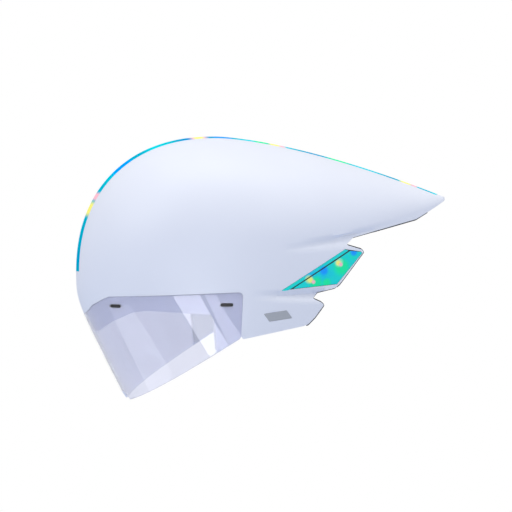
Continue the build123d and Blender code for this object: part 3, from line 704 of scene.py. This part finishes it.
def makeShell():
    bm = formSheet(shellSheet)
    cell = shellSheet["cell"]
    cutAlong(bm, shellOutline, cell)
    dropFaces(bm, lambda c: not insideOutline(shellOutline, c.x, c.z))
    grownLens = grownOutline(lensOutline, shellSheet["lensGap"])
    for outline in (grownLens, pocketOutline, badgeOutline):
        cutAlong(bm, outline, cell)
        dropFaces(bm, lambda c: insideOutline(outline, c.x, c.z) and c.z < form["crownLevel"])
    band = stripeOutline(0)
    cutAlong(bm, band, cell, (0, 1), aboveStripe)
    cutLevel(bm, stripe["frontLevel"], cell, lambda c: abs(c.y) < stripe["besideCut"])
    dropFaces(bm, lambda c: c.z > stripe["frontLevel"] and insideOutline(band, c.x, c.y))
    tidySheet(bm)
    piece = finishMesh(bm, "shellSkin", shellMaterial)
    giveWall(piece, shellSheet["wall"], shellSheet["soften"], shellSheet["rimSteps"])
    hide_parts("outer_shell")
    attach(piece, "helmet")
    return piece


shell = makeShell()
print("shell made:", len(shell.data.polygons), "faces")


inlay = {"margin": 0.008, "cell": 0.004, "wall": 0.0008, "soften": 0.00012}
sideSheet = {
    "along": 150, "around": 190, "inset": 0.0, "topShare": 0.3, "lowZ": -0.090, "creased": True,
    "span": (0.016, 0.170),
}
bedSheet = dict(sideSheet, inset=0.00045, grown=-0.00005)


def makeInlay(name, outline, replaced, material, gap, sheet):
    # one inlay for each side, smaller than its place by the gap
    bm = formSheet(sheet)
    low = [min(p[k] for p in outline) - inlay["margin"] for k in (0, 1)]
    high = [max(p[k] for p in outline) + inlay["margin"] for k in (0, 1)]
    dropFaces(bm, lambda c: not (low[0] < c.x < high[0] and low[1] < c.z < high[1]))
    edge = grownOutline(outline, -gap) if gap else outline
    cutAlong(bm, edge, inlay["cell"])
    dropFaces(bm, lambda c: not insideOutline(edge, c.x, c.z))
    tidySheet(bm)
    for side, ending in ((-1, "left"), (1, "right")):
        half = bm.copy()
        dropFaces(half, lambda c: c.y * side < 0)
        dropLoose(half)
        piece = finishMesh(half, f"{name}.{ending}", material)
        giveWall(piece, inlay["wall"], inlay["soften"] if gap else 0)
        if replaced:
            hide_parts(f"{replaced}_{ending}")
        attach(piece, "helmet")
    bm.free()


makeInlay("finPanel", panelOutline, "fin_panel", panelMaterial, 0.00035, sideSheet)
makeInlay("finStrip", stripOutline, "fin_strip", panelMaterial, 0.0003, sideSheet)
makeInlay("earBadge", badgeOutline, "ear_badge", badgeMaterial, 0.00015, sideSheet)
# painted shade: the dark bed under the panel and the strip shows as a fine dark line round them, where their gaps
# are in shade
makeInlay("pocketShadeBed", grownOutline(pocketOutline, bedSheet["grown"]), None, plasticMaterial, 0,
          bedSheet)
print("side inlays made")

stripeSheet = {"along": 240, "around": 60, "inset": 0.0, "topShare": 1.0, "lowZ": 0.0, "noseShare": 0.42}


def makeStripe():
    bm = formSheet(stripeSheet)
    edge = stripeOutline(stripe["slack"])
    low = stripe["frontLevel"] + stripe["lift"]
    dropFaces(bm, lambda c: abs(c.y) > stripe["reach"] or c.z < low - stripe["below"])
    cutAlong(bm, edge, inlay["cell"], (0, 1), aboveStripe)
    cutLevel(bm, low, inlay["cell"])
    dropFaces(bm, lambda c: c.z < low or not insideOutline(edge, c.x, c.y))
    tidySheet(bm)
    piece = finishMesh(bm, "ridgeStripe", stripeMaterial)
    giveWall(piece, inlay["wall"], inlay["soften"])
    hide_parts("centre_stripe")
    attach(piece, "helmet")


makeStripe()
print("ridge stripe made")

lensSheet = {
    "along": 190, "around": 150, "inset": 0.0, "lowZ": -0.152, "sideFrom": -0.030, "span": (-0.1185, 0.034),
    "noseShare": 0.85, "wall": 0.0018, "cell": 0.004, "magnetCell": 0.003, "soften": 0.0003, "archRadius": 0.020,
    "archHeight": 0.0095, "archLength": 0.08, "archSides": 160, "archSlack": 0.0002, "archFacing": 0.4,
}


def makeLens():
    bm = formSheet(lensSheet)
    cutAlong(bm, lensOutline, lensSheet["cell"])
    dropFaces(bm, lambda c: not insideOutline(lensOutline, c.x, c.z))
    for key, length in zip(("frontMagnet", "rearMagnet"), outlines["magnetLengths"]):
        pill = pillOutline(outlines[key], length, outlines["magnetHeight"])
        cutAlong(bm, pill, lensSheet["magnetCell"])
        dropFaces(bm, lambda c: insideOutline(pill, c.x, c.z))
    tidySheet(bm)
    piece = finishMesh(bm, "visorLens", lensMaterial)
    piece.data.materials.append(rimHighlightMaterial)
    giveWall(piece, lensSheet["wall"], 0, rim=1)
    # the arch over the nose, along the wearer's own forward axis
    x, z = spot(outlines["lens"][8])
    pitch = math.radians(form["headPitch"])
    radius = lensSheet["archRadius"]
    down = radius - lensSheet["archHeight"]
    centre = Vector((x + math.sin(pitch) * down, 0, z - math.cos(pitch) * down))
    forward = Vector((-math.cos(pitch), 0, -math.sin(pitch)))
    turned = forward.to_track_quat("Z", "Y").to_matrix().to_4x4()
    cutter = bmesh.new()
    bmesh.ops.create_cone(cutter, cap_ends=True, segments=lensSheet["archSides"], radius1=radius, radius2=radius,
                          depth=lensSheet["archLength"], matrix=Matrix.Translation(centre) @ turned)
    tool = finishMesh(cutter, "archTool", None)
    addModifier(piece, "BOOLEAN", object=tool, operation="DIFFERENCE", solver="EXACT")
    applyModifiers(piece)
    bpy.data.objects.remove(tool)
    bevelEdges(piece, lensSheet["soften"])
    bm = bmesh.new()
    bm.from_mesh(piece.data)
    # the arch's own edge gets the rim's painted highlight too
    for f in bm.faces:
        away = (f.calc_center_median() - centre).cross(forward).length
        facing = abs(f.normal.dot(forward))
        if abs(away - radius) < lensSheet["archSlack"] and facing < lensSheet["archFacing"]:
            f.material_index = 1
    shadeSmooth(bm)
    bm.to_mesh(piece.data)
    bm.free()
    while len(piece.data.materials) > 2:
        piece.data.materials.pop()
    piece.visible_shadow = False
    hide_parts("visor_lens")
    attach(piece, "visor")
    return piece


lens = makeLens()
print("lens made:", len(lens.data.polygons), "faces")


panSplit = {"longEdge": 0.004, "inFrontOf": 0.19, "cuts": 3}


def dressCopy(node, name, material, body, soften=0.0, turn=32):
    # a copy of a CAD node, merged, with its edges softened
    bm = bmesh.new()
    bm.from_mesh(nodes[node].data)
    bmesh.ops.remove_doubles(bm, verts=bm.verts, dist=1e-6)
    bmesh.ops.dissolve_degenerate(bm, edges=bm.edges, dist=1e-7)
    if node == "tail_pan":
        # its front corners stay behind the shell's creases
        split = [e for e in bm.edges if e.calc_length() > panSplit["longEdge"]
                 and e.verts[0].co.x < panSplit["inFrontOf"]]
        bmesh.ops.subdivide_edges(bm, edges=split, cuts=panSplit["cuts"])
        for v in bm.verts:
            pushIntoCrease(v)
    piece = finishMesh(bm, name, material, turn)
    if soften:
        bevelEdges(piece, soften, turn=turn)
    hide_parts(node)
    if body:
        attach(piece, body)
    return piece


# node, piece, finish, slot, body and how far the edges are softened
hardPieces = [
    ("visor_frame", "visorLedge", frameMaterial, "frame_pale", "helmet", 0.0003),
    ("eps_liner", "foamLiner", foamMaterial, "foam_white", "helmet", 0.0),
    ("tail_pan", "tailPan", plasticMaterial, "plastic_black", "helmet", 0.0),
    ("rear_trim_left", "rearTrim.left", rubberMaterial, "rubber_black", "helmet", 0.0),
    ("rear_trim_right", "rearTrim.right", rubberMaterial, "rubber_black", "helmet", 0.0),
    ("nape_cradle", "napeCradle", plasticMaterial, "plastic_black", "cradle", 0.0003),
    ("cradle_arm_left", "cradleArm.left", plasticMaterial, "plastic_black", "cradle", 0.0003),
    ("cradle_arm_right", "cradleArm.right", plasticMaterial, "plastic_black", "cradle", 0.0003),
    ("arm_guide_left", "armGuide.left", plasticMaterial, "plastic_black", "helmet", 0.0003),
    ("arm_guide_right", "armGuide.right", plasticMaterial, "plastic_black", "helmet", 0.0003),
    ("dial_housing", "dialHousing", plasticMaterial, "plastic_black", "cradle", 0.0003),
    ("dial_knob", "dialKnob", rubberMaterial, "plastic_black", "dial", 0.0003),
    ("dial_spool", "dialSpool", plasticMaterial, "plastic_black", "dial", 0.0001),
    ("dial_screw", "dialScrew", steelMaterial, "steel", "dial", 0.0),
    ("dial_pawl", "dialPawl", steelMaterial, "steel", "cradle", 0.0),
    ("tension_lace", "tensionLace", laceMaterial, "lace_black", "cradle", 0.0),
    ("strap_anchors", "strapAnchors", plasticMaterial, "plastic_black", "helmet", 0.0004),
    ("strap_divider_left", "strapDivider.left", plasticMaterial, "plastic_black", "helmet", 0.0003),
    ("strap_divider_right", "strapDivider.right", plasticMaterial, "plastic_black", "helmet", 0.0003),
    ("cam_lever_left", "camLever.left", plasticMaterial, "plastic_black", "lever_left", 0.0003),
    ("cam_lever_right", "camLever.right", plasticMaterial, "plastic_black", "lever_right", 0.0003),
    ("lever_pin_left", "leverPin.left", steelMaterial, "steel", "helmet", 0.0),
    ("lever_pin_right", "leverPin.right", steelMaterial, "steel", "helmet", 0.0),
    ("buckle_sleeve", "buckleSleeve", plasticMaterial, "plastic_black", "helmet", 0.0006),
    ("buckle_plug", "bucklePlug", plasticMaterial, "plastic_black", "buckle_half", 0.0006),
    ("strap_keeper", "strapKeeper", rubberMaterial, "rubber_black", "helmet", 0.0004),
    ("hook_dots", "hookDots", hookMaterial, "hook_nylon", "helmet", 0.0),
    ("visor_magnets", "visorMagnets", magnetMaterial, "magnet_dark", "visor", 0.0),
    ("frame_magnets", "ledgeMagnets", magnetMaterial, "magnet_dark", "helmet", 0.0),
]
for node, name, material, slotName, body, soften in hardPieces:
    dressCopy(node, name, material, body, soften)
print("hard pieces dressed")


padLook = {"voxel": 0.0022, "pressure": 3.0, "cap": 0.0012, "shrink": 0.0006, "frames": 14, "smoothings": 3,
           "quality": 4}


def makePad(node, name, body):
    # knit-covered foam, blown up a little by a cloth simulation
    bm = bmesh.new()
    bm.from_mesh(nodes[node].data)
    bmesh.ops.remove_doubles(bm, verts=bm.verts, dist=1e-6)
    bmesh.ops.recalc_face_normals(bm, faces=bm.faces)
    piece = finishMesh(bm, name, padMaterial)
    addModifier(piece, "REMESH", mode="VOXEL", voxel_size=padLook["voxel"], use_smooth_shade=True)
    applyModifiers(piece)
    bm = bmesh.new()
    bm.from_mesh(piece.data)
    for _ in range(padLook["smoothings"]):
        bmesh.ops.smooth_vert(bm, verts=bm.verts, factor=0.5, use_axis_x=True, use_axis_y=True, use_axis_z=True)
    bm.normal_update()
    for v in bm.verts:
        v.co -= v.normal * padLook["shrink"]
    bm.to_mesh(piece.data)
    bm.free()
    rest = [v.co.copy() for v in piece.data.vertices]
    cloth = piece.modifiers.new("Cloth", "CLOTH")
    cloth.settings.use_pressure = True
    cloth.settings.uniform_pressure_force = padLook["pressure"]
    cloth.settings.effector_weights.gravity = 0
    cloth.settings.quality = padLook["quality"]
    cloth.point_cache.frame_end = padLook["frames"] + 2
    for step in range(1, padLook["frames"] + 1):
        bpy.context.scene.frame_set(step)
    graph = bpy.context.evaluated_depsgraph_get()
    blown = piece.evaluated_get(graph).data
    moved = [v.co.copy() for v in blown.vertices]
    piece.modifiers.clear()
    bpy.context.scene.frame_set(1)
    for v, a, b in zip(piece.data.vertices, rest, moved):
        shift = b - a
        if shift.length > padLook["cap"]:
            shift *= padLook["cap"] / shift.length
        v.co = a + shift
    for f in piece.data.polygons:
        f.use_smooth = True
    piece.data.materials.clear()
    piece.data.materials.append(padMaterial)
    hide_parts(node)
    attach(piece, body)


pads = [
    ("brow_pad", "browPad", "helmet"), ("crown_pad", "crownPad", "helmet"),
    ("crown_side_pad_left", "crownSidePad.left", "helmet"),
    ("crown_side_pad_right", "crownSidePad.right", "helmet"),
    ("side_pad_left", "sidePad.left", "helmet"), ("side_pad_right", "sidePad.right", "helmet"),
    ("rear_pad_left", "rearPad.left", "helmet"), ("rear_pad_right", "rearPad.right", "helmet"),
    ("cradle_pad", "cradlePad", "cradle"),
]
for node, name, body in pads:
    makePad(node, name, body)
print("pads made")

# webbing, from the model's straps with rounded selvedges
selvedge = 0.0005
for node, name in (("front_strap_left", "frontStrap.left"), ("front_strap_right", "frontStrap.right"),
                   ("rear_strap_left", "rearStrap.left"), ("rear_strap_right", "rearStrap.right"),
                   ("chin_strap_left", "chinStrap.left")):
    dressCopy(node, name, webMaterial, "helmet", selvedge)
# the right chin strap runs from the helmet's divider to the plug; it gets no body here, and its place is baked
# into its mesh
chinStrap = dressCopy("chin_strap_right", "chinStrap.right", webMaterial, None, selvedge)
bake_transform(chinStrap)
print("straps made")


# the camera is placed by the photograph's turn and rise in degrees, and its frame's place and width in metres
stage = {
    "fill": 0.715, "tint": (0.93, 0.9425, 0.9825), "yaw": 8.0, "rise": 1.5, "distance": 5.0, "far": 40,
    "right": 0.0542, "up": -0.0058, "width": 0.4951, "picture": 512,
    "floorSize": 6.0, "floorLevel": -0.60, "floorColour": (0.58, 0.66, 0.84), "floorRoughness": 0.9,
}
# place, target, size in metres and power in watts
softboxes = {
    "topSoftbox": ((0.1, -0.6, 2.2), (0.06, 0, 0), (2.8, 1.6), 22),
    "frontSoftbox": ((-1.9, -1.1, 0.9), (0, 0, 0), (1.4, 1.4), 9),
    "tailSoftbox": ((1.7, -1.3, 1.3), (0.2, 0, 0.03), (1.2, 1.2), 4),
}


def seenRays(tree):
    # 1 where the camera sees the background, also through the visor, and 0 where it lights the helmet
    path = tree.nodes.new("ShaderNodeLightPath")
    seen = tree.nodes.new("ShaderNodeMath")
    seen.operation = "MAXIMUM"
    link(tree, path.outputs["Is Camera Ray"], seen.inputs[0])
    link(tree, path.outputs["Is Transmission Ray"], seen.inputs[1])
    return seen.outputs[0]


def mixColours(tree, factor, first, second, target):
    mix = tree.nodes.new("ShaderNodeMix")
    mix.data_type = "RGBA"
    mix.inputs[6].default_value = (*first, 1)
    mix.inputs[7].default_value = (*second, 1)
    link(tree, factor, mix.inputs[0])
    link(tree, mix.outputs[2], target)


def makeFloor():
    bm = bmesh.new()
    bmesh.ops.create_grid(bm, x_segments=1, y_segments=1, size=stage["floorSize"],
                          matrix=Matrix.Translation((0, 0, stage["floorLevel"])))
    floor = finishMesh(bm, "floor", None)
    material, tree, shader = startMaterial("floorPale")
    shader.inputs["Roughness"].default_value = stage["floorRoughness"]
    shader.inputs["Specular IOR Level"].default_value = 0
    shader.inputs["Emission Color"].default_value = (1, 1, 1, 1)
    seen = seenRays(tree)
    mixColours(tree, seen, stage["floorColour"], (0, 0, 0), shader.inputs["Base Color"])
    link(tree, seen, shader.inputs["Emission Strength"])
    floor.data.materials.append(material)
    floor.visible_glossy = False


def makeWorld():
    world = bpy.data.worlds.new("studio")
    bpy.context.scene.world = world
    world.use_nodes = True
    tree = world.node_tree
    back = tree.nodes["Background"]
    seen = seenRays(tree)
    strength = tree.nodes.new("ShaderNodeMapRange")
    strength.inputs["To Min"].default_value = stage["fill"]
    strength.inputs["To Max"].default_value = 1.0
    link(tree, seen, strength.inputs["Value"])
    link(tree, strength.outputs["Result"], back.inputs["Strength"])
    mixColours(tree, seen, stage["tint"], (1, 1, 1), back.inputs["Color"])


def areaLight(name, place, target, size, power):
    data = bpy.data.lights.new(name, "AREA")
    data.shape = "RECTANGLE"
    data.size, data.size_y = size
    data.energy = power
    light = bpy.data.objects.new(name, data)
    light.location = place
    light.rotation_euler = (Vector(target) - Vector(place)).to_track_quat("-Z", "Y").to_euler()
    bpy.context.scene.collection.objects.link(light)


makeFloor()
makeWorld()
for name, values in softboxes.items():
    areaLight(name, *values)
print("lights made")

yaw, rise = math.radians(stage["yaw"]), math.radians(stage["rise"])
right = Vector((math.cos(yaw), -math.sin(yaw), 0))
ahead = Vector((math.sin(yaw) * math.cos(rise), math.cos(yaw) * math.cos(rise), -math.sin(rise)))
up = right.cross(ahead)
target = right * stage["right"] + up * stage["up"]
cameraData = bpy.data.cameras.new("camera")
cameraData.lens = stage["distance"] * cameraData.sensor_width / stage["width"]
cameraData.clip_end = stage["far"]
camera = bpy.data.objects.new("camera", cameraData)
camera.matrix_world = Matrix((right, up, -ahead)).transposed().to_4x4()
camera.location = target - ahead * stage["distance"]
bpy.context.scene.collection.objects.link(camera)
bpy.context.scene.camera = camera
bpy.context.scene.view_settings.view_transform = "Standard"

# panels of light whose mirror image lies in the visor: four corners in the picture, inside the visor, how far the
# top and the foot run on past them, and a strength
reflectorLook = {"distance": 0.6, "colour": (0.95, 0.96, 1.0)}
reflectors = {
    "mainPanel": {"corners": [(176, 300), (203, 300), (224, 338), (200, 342)], "top": 0.30, "foot": 0.50,
                  "strength": 7.0},
    "sidePanel": {"corners": [(207, 300), (219, 300), (238, 330), (226, 338)], "top": 0.30, "foot": 0.50,
                  "strength": 4.2},
    "nosePanel": {"corners": [(112, 314), (136, 314), (163, 358), (140, 372)], "top": 0.25, "foot": 0.40,
                  "strength": 1.9},
}


def pictureRay(px, py):
    # from the camera through a point of the picture
    pixel, middle = stage["width"] / stage["picture"], stage["picture"] / 2
    through = target + right * ((px - middle) * pixel) + up * ((middle - py) * pixel)
    return (through - camera.location).normalized()


def makeReflectors():
    surface = bmesh.new()
    surface.from_mesh(lens.data)
    tree = BVHTree.FromBMesh(surface)
    for name, spec in reflectors.items():
        lit = []
        for px, py in spec["corners"]:
            ray = pictureRay(px, py)
            hit, normal, _, _ = tree.ray_cast(camera.location, ray)
            bounce = ray - normal * (2 * ray.dot(normal))
            lit.append(hit + bounce * reflectorLook["distance"])
        front, back = lit[0] - lit[3], lit[1] - lit[2]
        ends = [lit[0] + front * spec["top"], lit[1] + back * spec["top"],
                lit[2] - back * spec["foot"], lit[3] - front * spec["foot"]]
        bm = bmesh.new()
        bm.faces.new([bm.verts.new(c) for c in ends])
        material, _, shader = startMaterial(name)
        shader.inputs["Base Color"].default_value = (0, 0, 0, 1)
        shader.inputs["Specular IOR Level"].default_value = 0
        shader.inputs["Emission Color"].default_value = (*reflectorLook["colour"], 1)
        shader.inputs["Emission Strength"].default_value = spec["strength"]
        piece = finishMesh(bm, name, material)
        piece.visible_camera = False
        piece.visible_diffuse = False
        piece.visible_transmission = False
        piece.visible_shadow = False
    surface.free()


makeReflectors()
print("stage made")
